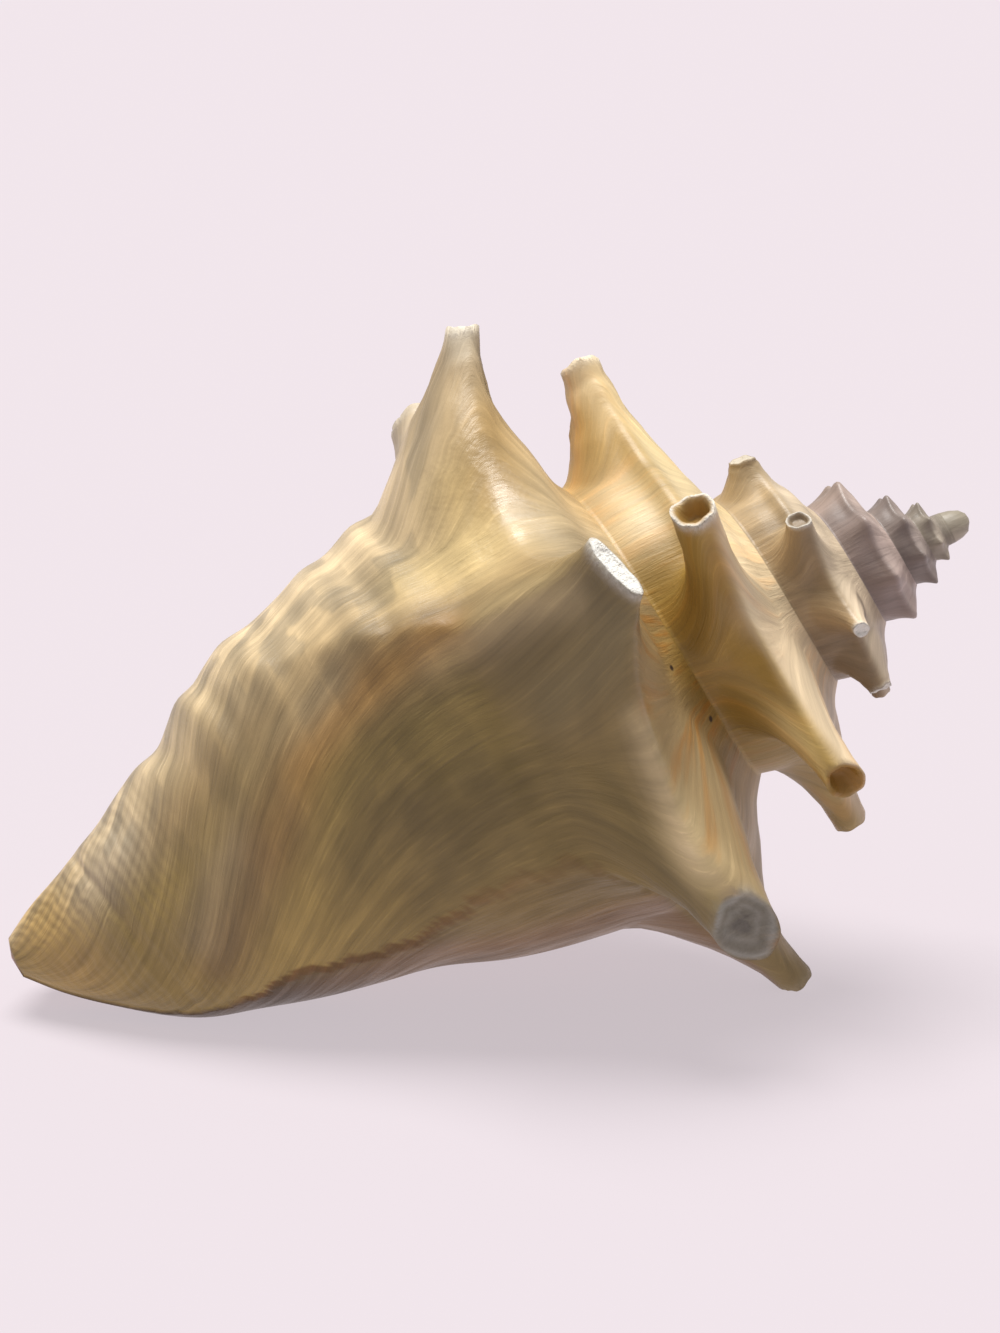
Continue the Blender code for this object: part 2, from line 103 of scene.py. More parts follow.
# turns back, angle, tip radius, tip depth, foot half widths, tip half widths, pit,
# how slender it is in front and behind, how far its end face turns to the viewer,
# how far round and how far forward its foot stands, and how deep its folds are
spineList = [
    (0, -104, 84.1, 76.0, 24.0, 21.0, 4.6, 4.2, 0.0, 0.3, 0.8, 0.0, 10, 0.10, 0.02),
    (0, -51, 78.0, 84.0, 24.0, 21.0, 9.4, 7.0, 0.8, 0.1, 0.2, 1.5, 18, 0.0, 0.02),
    (0, 14, 85.6, 80.5, 27.0, 22.0, 8.5, 2.4, 0.5, 0.1, 0.25, -0.3, -5, 0.0, 0.02),
    (0, 80, 84.6, 88.6, 28.0, 25.0, 4.3, 3.6, 0.6, -0.35, 1.1, 0.0, -10, 0.0, 0.05),
    (0, 127, 91.0, 107.0, 24.0, 22.0, 6.0, 6.0, 0.6, 0.3, 0.3, 0.0, 0, 0.0, 0.03),
    (1, -111, 56.5, 50.0, 15.0, 12.0, 4.0, 4.0, 0.5, 0.4, 0.5, 0.0, 8, 0.04, 0.02),
    (1, -46, 56.5, 51.5, 15.0, 13.0, 4.6, 4.4, 4.0, 0.7, 0.7, 1.2, 17, 0.0, 0.02),
    (1, 24, 63.3, 60.0, 14.0, 13.0, 5.1, 4.8, 4.5, 1.4, 1.4, 0.0, -18, 0.04, 0.02),
    (1, 90, 66.8, 67.3, 17.0, 15.5, 4.6, 4.6, 0.8, -0.1, 0.9, 0.0, -4, 0.05, 0.07),
    (1, 150, 64.0, 66.0, 17.0, 14.0, 4.5, 4.0, 0.5, 0.6, 0.6, 0.0, 0, 0.0, 0.04),
    (1, -160, 50.0, 50.0, 14.0, 12.0, 4.0, 4.0, 0.5, 0.4, 0.4, 0.0, 0, 0.0, 0.02),
    (2, 77, 33.3, 42.5, 8.8, 7.5, 3.0, 3.0, 0.3, 0.0, 0.4, 0.0, 0, 0.10, 0.04),
    (2, 27, 33.0, 38.0, 8.4, 7.4, 2.9, 2.7, 1.0, 0.4, 0.4, 0.0, -8, 0.05, 0.02),
    (2, -22, 33.0, 34.8, 8.2, 7.2, 2.0, 1.9, 0.3, 0.2, 0.2, 0.0, 6, 0.0, 0.02),
    (2, -62, 30.0, 34.6, 8.6, 7.4, 2.8, 2.6, 0.3, 0.0, 0.0, 0.0, 6, 0.03, 0.02),
    (2, -106, 29.6, 33.0, 8.0, 7.0, 2.2, 2.2, 0.3, 0.2, 0.2, 0.0, 0, 0.0, 0.02),
    (2, -152, 31.0, 33.6, 8.0, 7.0, 2.0, 2.0, 0.3, 0.3, 0.3, 0.0, 0, 0.0, 0.02),
    (2, 122, 35.0, 43.0, 8.5, 7.5, 2.4, 2.4, 0.3, 0.2, 0.2, 0.0, 0, 0.0, 0.02),
    (2, 168, 36.0, 45.0, 8.5, 7.5, 2.4, 2.4, 0.3, 0.2, 0.2, 0.0, 0, 0.0, 0.02),
]

# ridges that run forward from a spine: angle, depth, height, half width
ridgeList = [
    [(13, 95, 7.0, 9), (20, 108, 7.0, 10), (29, 127, 5.5, 11), (39, 146, 3.5, 12), (50, 166, 1.5, 12)],
    [(76, 104, 4.0, 12), (84, 120, 2.5, 13), (92, 138, 1.0, 12)],
    [(-44, 96, 4.0, 8), (-40, 108, 3.0, 9), (-34, 122, 1.5, 9)],
]

# the tallest spine, by turns back and angle, and the lumpy crest down its front
tallSpine = (0, 80)
tallCrest = {
    "path": [(16, 75, 92), (23, 66, 97), (29, 57, 101), (34, 49, 108)],
    "push": (0.80, 0.52, 0.30),
    "height": 1.1,
    "lump": 0.7,
    "lumpLength": 7.0,
    "halfWidth": 4.5,
}

lastAngle = growth["join"] + 360.0


def smoothStep(value):
    value = np.clip(value, 0.0, 1.0)
    return value * value * (3.0 - 2.0 * value)


def through(table, where):
    table = np.array(table, float)
    at = table[:, 0]
    slopes = np.gradient(table[:, 1:], at, axis=0)
    where = np.clip(np.asarray(where, float), at[0], at[-1])
    low = np.clip(np.searchsorted(at, where, side="right") - 1, 0, len(at) - 2)
    width = at[low + 1] - at[low]
    part = ((where - at[low]) / width)[..., None]
    width = width[..., None]
    startRow = table[low, 1:]
    endRow = table[low + 1, 1:]
    return (
        (2 * part**3 - 3 * part**2 + 1) * startRow
        + (part**3 - 2 * part**2 + part) * width * slopes[low]
        + (3 * part**2 - 2 * part**3) * endRow
        + (part**3 - part**2) * width * slopes[low + 1]
    )


def suture(angle):
    grown = growth["perTurn"] ** (angle / 360.0)
    return growth["sutureRadius"] * grown, growth["sutureDepth"] * grown


def polar(angle, radius, depth, drop=0.0):
    # towards the viewer, across the axis, along it from the apex
    turn = np.radians(angle)
    return np.stack(
        [radius * np.cos(turn), radius * np.sin(turn) - drop, depth + 0.0 * radius], -1
    )


def whorl(angle, row):
    angle, row = np.broadcast_arrays(np.asarray(angle, float), np.asarray(row, float))
    radius0, depth0 = suture(angle)
    strip = through(stripShape, np.minimum(row, 1.0))
    narrowing = 1.0 - 0.24 * smoothStep((angle + 90.0) / 180.0)
    narrowing += 0.20 * smoothStep((angle - 100.0) / 90.0)
    share = smoothStep(np.minimum(row, 1.0))
    radius = radius0 * strip[..., 0] * (1.0 + (narrowing - 1.0) * share)
    onStrip = polar(angle, radius, depth0 * strip[..., 1])

    onward = np.clip(row - 1.0, 0.0, 1.0)
    startDepth = depth0 * growth["perTurn"]
    run = onward + 0.12 * np.sin(math.pi * onward)
    bodyDepth = startDepth + (growth["length"] - startDepth) * run
    section = through(bodyShape, bodyDepth)
    inward = smoothStep((-92.0 - angle) / 108.0)
    wider = 1.0 + 0.10 * smoothStep((angle - 100.0) / 90.0)
    bodyRadius = (section[..., 0] * (1 - inward) + section[..., 2] * inward) * wider
    first = through(bodyShape, startDepth)
    firstRadius = (first[..., 0] * (1 - inward) + first[..., 2] * inward) * wider
    startRadius = radius0 * growth["perTurn"] * narrowing
    bodyRadius = bodyRadius + (startRadius - firstRadius) * (1.0 - smoothStep(onward / 0.35))
    onBody = polar(angle, bodyRadius, bodyDepth, section[..., 1])
    return np.where((row <= 1.0)[..., None], onStrip, onBody)


def stretched(angle, row):
    edge = through(lipShape, row)
    forward = smoothStep((angle - 50.0) / (lastAngle - 50.0) * 0.5) * 2.0
    return angle + (edge[..., 0] - lastAngle) * forward


def outerSkin(angle, row):
    angle, row = np.broadcast_arrays(np.asarray(angle, float), np.asarray(row, float))
    edge = through(lipShape, row)
    turned = stretched(angle, row)
    base = whorl(turned, row)
    target = polar(edge[..., 0], edge[..., 1], edge[..., 2])
    flare = np.clip((turned - 125.0) / (edge[..., 0] - 125.0), 0.0, 1.0) ** 1.9
    atEdge = whorl(edge[..., 0], row)
    return base + flare[..., None] * (target - atEdge)


def skinNormals(angle, row):
    along = outerSkin(angle + 0.6, row) - outerSkin(angle - 0.6, row)
    ahead = outerSkin(angle, np.minimum(row + 0.01, 2.0))
    behind = outerSkin(angle, np.maximum(row - 0.01, 0.0))
    found = np.cross(along, ahead - behind)
    return found / np.maximum(np.linalg.norm(found, axis=-1, keepdims=True), 1e-9)


def bodyPoint(angle, depth):
    rows = np.linspace(0.3, 2.0, 240)
    line = outerSkin(np.full(240, float(angle)), rows)
    return line[np.argmin(np.abs(line[:, 2] - depth))]


def ridgeLift(points):
    total = np.zeros(len(points))
    for ridge in ridgeList:
        path = np.array(ridge, float)
        lift = np.zeros(len(points))
        for first, second in zip(path[:-1], path[1:]):
            for share in np.linspace(0.0, 1.0, 8):
                angle, depth, height, width = first + (second - first) * share
                gap = np.linalg.norm(points - bodyPoint(angle, depth), axis=1) / width
                lift = np.maximum(lift, height * np.exp(-1.3 * gap**1.2))
        total += lift
    return total


def keelLift(sheet):
    # a rounded crest along the shoulder, strongest on the outer whorls
    angle, row = sheet[:, 0], sheet[:, 1]
    crest = np.exp(-(((row - growth["shoulder"]) / 0.06) ** 2))
    size = suture(angle)[0] / growth["sutureRadius"]
    fade = smoothStep((angle + 2000.0) / 300.0) * (1.0 - smoothStep((angle - 110.0) / 40.0))
    fade = fade * (1.0 - 0.95 * np.exp(-(((angle - 52.0) / 26.0) ** 2)))
    return 3.0 * crest * size * fade


# the edge of the smooth glaze round the opening, as row and angle
glazeEdge = [
    (0.78, -66.0), (0.86, -50.0), (0.95, -40.0), (1.02, -37.0), (1.07, -38.0), (1.14, -41.0),
    (1.21, -50.0), (1.26, -56.0), (1.36, -55.0), (1.44, -52.5), (1.50, -62.0), (1.64, -70.0),
    (2.00, -84.0),
]


def glazeMask(turned, row):
    edge = np.array(glazeEdge)
    line = np.interp(row, edge[:, 0], edge[:, 1])
    line = line + 0.9 * np.sin(row * 95.0) + 0.7 * np.sin(row * 230.0 + 1.0)
    inside = smoothStep((line - turned) / 1.6 + 0.5) * smoothStep((row - 0.78) / 0.05)
    return inside * (turned > growth["join"] - 1.0)


# low relief on the skin, in mm
relief = {
    "rib": 0.60,
    "ribSpacing": 18.5,
    "smallRib": 0.12,
    "smallRibSpacing": 9.1,
    "glazeStep": 0.6,
    "groove": 0.8,
    "grooveLine": ([-50.0, -17.0, 50.0], [1.63, 1.65, 1.71]),  # angles, rows
}


def reliefLift(sheet, turned):
    # broad low ribs, the edge of the glaze and the groove near the front end
    row = sheet[:, 1]
    _, run = growthMap(sheet, turned)
    own = smoothStep((turned + 75.0) / 60.0) * smoothStep((row - 0.66) / 0.16)
    lit = 0.35 + 0.65 * smoothStep((turned - 15.0) / 50.0)
    bent = run + 2.5 * np.sin(turned * 0.06) + 3.0 * np.sin(run * 0.11)
    wave = relief["rib"] * np.sin(bent / relief["ribSpacing"] * 2 * math.pi + 0.6)
    wave += relief["smallRib"] * np.sin(bent / relief["smallRibSpacing"] * 2 * math.pi)
    wave = wave * own * lit * (1.0 - smoothStep((row - 1.55) / 0.2))
    glaze = relief["glazeStep"] * glazeMask(turned, row)
    line = np.interp(turned, *relief["grooveLine"])
    groove = -relief["groove"] * np.exp(-(((row - line) / 0.014) ** 2))
    groove = groove * smoothStep((turned + 75.0) / 20.0)
    return wave + glaze + groove * smoothStep((95.0 - turned) / 30.0)


def growthMap(sheet, turned):
    # along the growth and across it, in mm, so that streaks and ribs follow the shell
    row = sheet[:, 1]
    early = np.clip(row - 1.0, 0.0, 0.5)
    late = np.clip(row - 1.5, 0.0, 0.5)
    grown = turned + 275.0 * early**2 + 240.0 * late
    along = 17.9 * suture(grown)[0]
    radius0, depth0 = suture(turned)
    onward = np.clip(row - 1.0, 0.0, 1.0)
    run = onward + 0.12 * np.sin(math.pi * onward)
    across = np.minimum(row, 1.0) * 1.43 * radius0
    across = across + run * (growth["length"] - depth0 * growth["perTurn"]) * 1.07
    return along, across


def spineFoot(spine):
    turns, angle, _, _, _, footS = spine[:6]
    footShift, footRow = spine[12], growth["shoulder"] + spine[13]
    footAngle = angle + footShift - 360.0 * turns
    if turns == 0:
        columns = np.linspace(growth["join"], lastAngle, 361)
        turned = stretched(columns, np.full(361, footRow))
        footAngle = np.interp(angle + footShift, turned, columns)
    foot = outerSkin(np.array(footAngle), np.array(footRow))
    uAxis = outerSkin(np.array(footAngle + 1.0), np.array(footRow)) - foot
    perDegree = np.linalg.norm(uAxis)
    sAxis = outerSkin(np.array(footAngle), np.array(footRow + 0.06))
    sAxis = sAxis - outerSkin(np.array(footAngle), np.array(footRow - 0.06))
    rows = np.linspace(0.0, 2.0, 401)
    line = outerSkin(np.full(401, footAngle), rows)
    run = np.concatenate([[0.0], np.cumsum(np.linalg.norm(np.diff(line, axis=0), axis=1))])
    run -= np.interp(footRow, rows, run)
    front = footS if turns == 0 else min(footS, 0.96 * np.interp(1.0, rows, run))
    return {
        "angle": footAngle,
        "foot": foot,
        "perDegree": perDegree,
        "uAxis": uAxis / perDegree,
        "sAxis": sAxis / np.linalg.norm(sAxis),
        "rows": rows,
        "run": run,
        "behind": min(footS, -0.96 * run[0]),
        "front": front,
    }


def awayFromFoot(spine, base, sheet):
    # 0 under the tip, 1 at the edge of the foot, with a slight crest along the shoulder
    x = (sheet[:, 0] - base["angle"]) * base["perDegree"]
    y = np.interp(sheet[:, 1], base["rows"], base["run"])
    reach = np.where(y < 0, base["behind"], base["front"])
    across, along = np.abs(x / spine[4]), np.abs(y / reach)
    away = np.hypot(across, along)
    crested = (across**1.6 + along**1.6) ** (1 / 1.6)
    share = smoothStep((away - 0.34) / 0.3) * (1.0 - smoothStep((away - 0.7) / 0.3))
    if spine[:2] == tallSpine:
        share = share * (x > 0.0)
    return x, y, reach, away + (crested - away) * share


def drawSpine(points, sheet, spine, tipRing):
    _, angle, radius, depth, footU, _, tipU, tipS, pit = spine[:9]
    slimFront, slimBack, faceTurn, _, _, folds = spine[9:]
    base = spineFoot(spine)
    foot, uAxis, sAxis = base["foot"], base["uAxis"], base["sAxis"]
    tip = polar(np.array(float(angle)), np.array(float(radius)), np.array(float(depth)))
    core = (tip - foot) / np.linalg.norm(tip - foot)
    face = core + np.array([faceTurn, 0.0, 0.0])
    face /= np.linalg.norm(face)
    tipUAxis = uAxis - face * (uAxis @ face)
    tipUAxis /= np.linalg.norm(tipUAxis)
    tipSAxis = sAxis - face * (sAxis @ face)
    tipSAxis /= np.linalg.norm(tipSAxis)

    x, y, reach, away = awayFromFoot(spine, base, sheet)
    near = (away < 1.0) & (np.abs(sheet[:, 0] - base["angle"]) < 75.0)
    x, y, reach, away = x[near], y[near], reach[near], away[near]
    flat = 0.28
    away = np.where(np.abs(away - flat) < 0.016, flat, away)
    climb = np.clip((1.0 - away) / (1.0 - flat), 0.0, 1.0)
    side = smoothStep(y / reach * 0.5 + 0.5)
    slim = slimBack + (slimFront - slimBack) * side
    gather = 1.0 - (1.0 - climb) ** (1.3 + 1.3 * slim)
    weight = (climb ** (1.5 - 0.1 * slim))[:, None]
    unit = np.maximum(np.hypot(x / footU, y / reach), 1e-6)
    wideU = np.where(away < flat, tipU * away / flat, footU + (tipU - footU) * gather)
    wideS = np.where(away < flat, tipS * away / flat, reach + (tipS - reach) * gather)
    ripple = np.sin(1.9 * angle + 30.0 * away + 2.0 * np.sin(x * 0.35)) * folds
    ripple = 1.0 + ripple * smoothStep((away - 0.3) / 0.1) * smoothStep((0.85 - away) / 0.3)
    newX = x / footU / unit * wideU * ripple
    newY = y / reach / unit * wideS * ripple
    newRow = np.interp(newY, base["run"], base["rows"])
    low = outerSkin(base["angle"] + newX / base["perDegree"], newRow)
    turn = np.arctan2(y, x)
    chip = np.sin(2 * turn + angle) + 0.7 * np.sin(3 * turn + 2 * angle)
    chip += 0.5 * np.sin(7 * turn + 3 * angle)
    chip = chip * 0.075 * min(tipU, tipS) * smoothStep(away / flat) * smoothStep((0.4 - away) / 0.12)
    sunk = pit * smoothStep((flat * 0.78 - away) / (flat * 0.26))
    high = tip + newX[:, None] * tipUAxis + newY[:, None] * tipSAxis
    high = high + chip[:, None] * face - sunk[:, None] * core
    moved = points.copy()
    index = np.flatnonzero(near)
    plain = outerSkin(sheet[index, 0], sheet[index, 1])
    raised = (points[index] - plain) * (1.0 - weight)
    moved[index] = raised + low * (1.0 - weight) + high * weight
    tipRing[index] = np.minimum(tipRing[index], away / flat)
    return moved


def nubAngles():
    found = []
    for turn in (3, 4, 5):
        for place in range(8):
            angle = 75.0 - 46.0 * place
            if angle < -180.0:
                angle += 360.0
            around = angle - 360.0 * turn
            low = growth["join"] - 360.0 * growth["turns"] + 30.0
            if low <= around <= growth["join"] - 720.0:
                found.append(around)
    return found


def drawNub(points, origin, around):
    foot = whorl(around, 0.6)
    radius0, _ = suture(around)
    angle = math.radians(around)
    out = np.array([math.cos(angle), math.sin(angle), -0.35])
    out /= np.linalg.norm(out)
    gap = np.linalg.norm(origin - foot, axis=1) / (0.44 * radius0)
    height = 0.25 + 0.12 * smoothStep((-1300.0 - around) / 300.0)
    return points + (out * height * radius0) * np.exp(-(gap**2) * 1.9)[:, None]


def lumpCrest(points):
    path = np.array(tallCrest["path"], float)
    best = np.full(len(points), 1e9)
    run = np.zeros(len(points))
    done = 0.0
    for first, second in zip(path[:-1], path[1:]):
        step = second - first
        length = np.linalg.norm(step)
        share = np.clip((points - first) @ step / length**2, 0.0, 1.0)
        gap = np.linalg.norm(points - first - share[:, None] * step, axis=1)
        run = np.where(gap < best, done + share * length, run)
        best = np.minimum(best, gap)
        done += length
    lumps = tallCrest["lump"] * np.sin(run * 2 * math.pi / tallCrest["lumpLength"])
    ends = np.sin(math.pi * np.clip(run / done, 0.0, 1.0)) ** 0.5
    height = (tallCrest["height"] + lumps) * ends
    reach = np.exp(-((best / tallCrest["halfWidth"]) ** 2))
    return points + np.array(tallCrest["push"]) * (height * reach)[:, None]


def finerSheet(sheet, quads):
    # smaller faces where the end of a spine is drawn, so that its rim is crisp
    grid = bmesh.new()
    for angle, row in sheet:
        grid.verts.new((angle, row, 0.0))
    grid.verts.ensure_lookup_table()
    for quad in quads:
        grid.faces.new([grid.verts[k] for k in quad])
    corners = np.array(quads)
    centres = sheet[corners].mean(axis=1)
    whole = np.ptp(sheet[corners][:, :, 0], axis=1) < 10.0
    chosen = set()
    for spine in spineList:
        _, _, _, away = awayFromFoot(spine, spineFoot(spine), centres)
        chosen.update(np.flatnonzero((away < 0.42) & whole).tolist())
    grid.faces.ensure_lookup_table()
    edges = {edge for k in chosen for edge in grid.faces[k].edges}
    bmesh.ops.subdivide_edges(grid, edges=list(edges), cuts=2, use_grid_fill=True)
    grid.verts.index_update()
    finer = np.array([(vert.co.x, vert.co.y) for vert in grid.verts])
    faces = [tuple(vert.index for vert in face.verts) for face in grid.faces]
    grid.free()
    return finer, faces


def shellMesh():
    columns, stripRows, frontRows = growth["columns"], growth["stripRows"], growth["frontRows"]
    turns, join = growth["turns"], growth["columns"] * growth["turns"]
    last = columns * (turns + 1)
    rows = stripRows + frontRows
    rowAt = np.concatenate(
        [np.linspace(0, 1, stripRows + 1), 1 + np.linspace(0, 1, frontRows + 1)[1:]]
    )
    firstAngle = growth["join"] - 360.0 * turns
    angleAt = firstAngle + 360.0 / columns * np.arange(last + 1)

    number = -np.ones((last + 1, rows + 1), int)
    sheet = []
    for j in range(last + 1):
        for i in range(rows + 1):
            if i > stripRows and j < join:
                continue
            if i == 0 and j >= columns:
                number[j, 0] = number[j - columns, stripRows]
                continue
            number[j, i] = len(sheet)
            sheet.append((angleAt[j], rowAt[i]))
    sheet = np.array(sheet)
    faces = []
    for j in range(last):
        top = rows if j >= join else stripRows
        for i in range(top):
            faces.append((number[j, i], number[j + 1, i], number[j + 1, i + 1], number[j, i + 1]))
    sheet, faces = finerSheet(sheet, faces)
    origin = outerSkin(sheet[:, 0], sheet[:, 1])
    outward = skinNormals(sheet[:, 0], sheet[:, 1])
    tipRing = np.full(len(sheet), 9.0)
    turned = stretched(sheet[:, 0], sheet[:, 1])
    lift = ridgeLift(origin) + keelLift(sheet) + reliefLift(sheet, turned)
    skin = origin + outward * lift[:, None]
    tipOwner = np.full(len(sheet), -1)
    for order, spine in enumerate(spineList):
        before = tipRing.copy()
        skin = drawSpine(skin, sheet, spine, tipRing)
        tipOwner[tipRing < before] = order
    for around in nubAngles():
        skin = drawNub(skin, origin, around)
    skin = lumpCrest(skin)
    print("outer skin shaped")

    points = [skin]
    count = len(skin)

    # the blunt apex closes the first turn
    ring = [number[j, 0] for j in range(columns + 1)]
    ring += [number[0, i] for i in range(stripRows - 1, 0, -1)]
    start = skin[ring]
    middle = start.mean(axis=0)
    for wide, high in ((0.97, 0.72), (0.88, 0.45), (0.68, 0.2), (0.38, 0.06)):
        place = middle + (start - middle) * wide
        place[:, 2] = high * start[:, 2]
        ids = list(range(count, count + len(place)))
        points.append(place)
        count += len(place)
        for k in range(len(ring)):
            after = (k + 1) % len(ring)
            faces.append((ring[after], ring[k], ids[k], ids[after]))
        ring = ids
    points.append(np.array([[middle[0], middle[1], 0.0]]))
    for k in range(len(ring)):
        faces.append((ring[(k + 1) % len(ring)], ring[k], count))
    count += 1

    insideFrom = count

    # the hollow behind the lip
    wallRows = np.arange(rows, stripRows, -1)
    rings = []
    for step in range(growth["hollowSteps"] + 1):
        back = step / growth["hollowSteps"]
        angle = lastAngle * (1 - back) + 20.0 * back
        reach = rowAt * (1.0 - 0.30 * smoothStep(back * 2.5) * rowAt / 2.0)
        here = outerSkin(np.full(rows + 1, angle), reach)
        facing = skinNormals(np.full(rows + 1, angle), np.maximum(reach, 0.02))
        size = np.hypot(here[:, 0], here[:, 1] + through(bodyShape, here[:, 2])[:, 1])
        thick = np.minimum(growth["wall"] + 1.5 * (1 - back), 0.26 * size)
        inside = here - facing * thick[:, None]
        if step == 0:
            ids = [number[last, 0]] + list(range(count, count + rows))
            points.append(inside[1:])
            count += rows
            ids += [number[join, i] for i in wallRows]
        else:
            ids = list(range(count, count + rows + 1))
            points.append(inside)
            count += rows + 1
            start = origin[number[join, wallRows]]
            drop = through(bodyShape, start[:, 2])[:, 1]
            onward = rowAt[wallRows] - 1.0
            radius = np.hypot(start[:, 0], start[:, 1] + drop) * (1.0 - 0.12 * back * (1 - onward))
            deep = start[:, 2] * (1.0 - 0.10 * back * (1 - onward))
            deep -= (0.30 * smoothStep(back * 2.5)) * onward * (start[:, 2] - 120.0) * 0.55
            turn = np.full(len(wallRows), growth["join"] - 140.0 * back)
            points.append(polar(turn, radius, deep, drop))
            ids += list(range(count, count + len(wallRows)))
            count += len(wallRows)
        rings.append(ids)
    allPoints = np.concatenate(points)
    for first, second in zip(rings[:-1], rings[1:]):
        for k in range(len(first)):
            after = (k + 1) % len(first)
            faces.append((first[after], first[k], second[k], second[after]))
    points.append(allPoints[rings[-1]].mean(axis=0, keepdims=True))
    for k in range(len(rings[-1])):
        faces.append((rings[-1][(k + 1) % len(rings[-1])], rings[-1][k], count))
    count += 1

    # the rounded rim of the lip
    outside = [number[last, i] for i in range(rows + 1)]
    within = rings[0][: rows + 1]
    lines = [outside]
    before = outerSkin(np.full(rows + 1, lastAngle - 3.0), rowAt)
    a = allPoints[outside]
    b = allPoints[within]
    forward = a - before
    forward /= np.maximum(np.linalg.norm(forward, axis=1, keepdims=True), 1e-9)
    thickness = np.linalg.norm(b - a, axis=1, keepdims=True)
    rimSteps = 6
    for step in range(1, rimSteps):
        share = step / rimSteps
        place = a * (1 - share) + b * share
        place = place + forward * 0.45 * thickness * math.sin(math.pi * share) ** 0.7
        ids = [outside[0]] + list(range(count, count + rows))
        points.append(place[1:])
        count += rows
        lines.append(ids)
    lines.append(within)
    for line, other in zip(lines[:-1], lines[1:]):
        for i in range(rows):
            face = [line[i], other[i], other[i + 1], line[i + 1]]
            face = [face[k] for k in range(4) if face[k] != face[k - 1]]
            if len(face) > 2:
                faces.append(tuple(face))
    rimIds = [line[-1] for line in lines[1:]]

    # the front end
    rim = [number[j, rows] for j in range(join, last + 1)] + rimIds
    allPoints = np.concatenate(points)
    middle = allPoints[rim].mean(axis=0)
    points.append((middle + np.array([0.0, 0.0, 1.5]))[None, :])
    for k in range(len(rim)):
        faces.append((rim[k], rim[(k + 1) % len(rim)], count))
    count += 1
    allPoints = np.concatenate(points)
    print("hollow and lip shaped")
    return allPoints, faces, sheet, tipRing, tipOwner, insideFrom


def axesInFrame():
    rise = math.radians(growth["axisRise"])
    lean = math.radians(growth["lean"])
    up = np.array([0.0, math.sin(lean), math.cos(lean)])
    right = np.array([1.0, 0.0, 0.0])
    view = np.array([0.0, -math.cos(lean), math.sin(lean)])
    apexward = math.cos(rise) * right + math.sin(rise) * up
    across = -math.sin(rise) * right + math.cos(rise) * up
    return right, up, view, apexward, across


# where the apex stands in the frame, in mm
placing = {"apex": (108.3530, 2.2566, 108.2138)}


def toFrame(points):
    _, _, view, apexward, across = axesInFrame()
    placed = points[:, :1] * view + points[:, 1:2] * across - points[:, 2:3] * apexward
    return placed + np.array(placing["apex"])


# colours by place on the spiral, below the shoulder and above it: angle, colour, colour
spiralTones = [
    (-2000, (0.36, 0.31, 0.235), (0.40, 0.34, 0.26)),
    (-1500, (0.185, 0.15, 0.13), (0.27, 0.22, 0.195)),
    (-1050, (0.28, 0.215, 0.19), (0.46, 0.355, 0.31)),
    (-760, (0.28, 0.195, 0.105), (0.56, 0.45, 0.32)),
    (-640, (0.36, 0.26, 0.14), (0.60, 0.48, 0.33)),
    (-520, (0.36, 0.26, 0.12), (0.52, 0.40, 0.25)),
    (-400, (0.36, 0.235, 0.06), (0.62, 0.49, 0.33)),
    (-340, (0.33, 0.205, 0.045), (0.70, 0.55, 0.34)),
    (-290, (0.42, 0.27, 0.09), (0.70, 0.55, 0.30)),
    (-200, (0.46, 0.35, 0.19), (0.52, 0.40, 0.23)),
    # from -60 to 8 the dark olive below the shoulder is partly painted shade on the front, partly the
    # shell's browner colour there
    (-60, (0.215, 0.147, 0.042), (0.36, 0.25, 0.125)),
    (-25, (0.20, 0.138, 0.040), (0.36, 0.255, 0.12)),
    (8, (0.188, 0.130, 0.042), (0.32, 0.215, 0.09)),
    (30, (0.31, 0.215, 0.10), (0.33, 0.25, 0.14)),
    (55, (0.49, 0.37, 0.21), (0.46, 0.35, 0.20)),
    (120, (0.53, 0.425, 0.285), (0.50, 0.385, 0.24)),
    (196, (0.52, 0.41, 0.28), (0.48, 0.38, 0.25)),
]

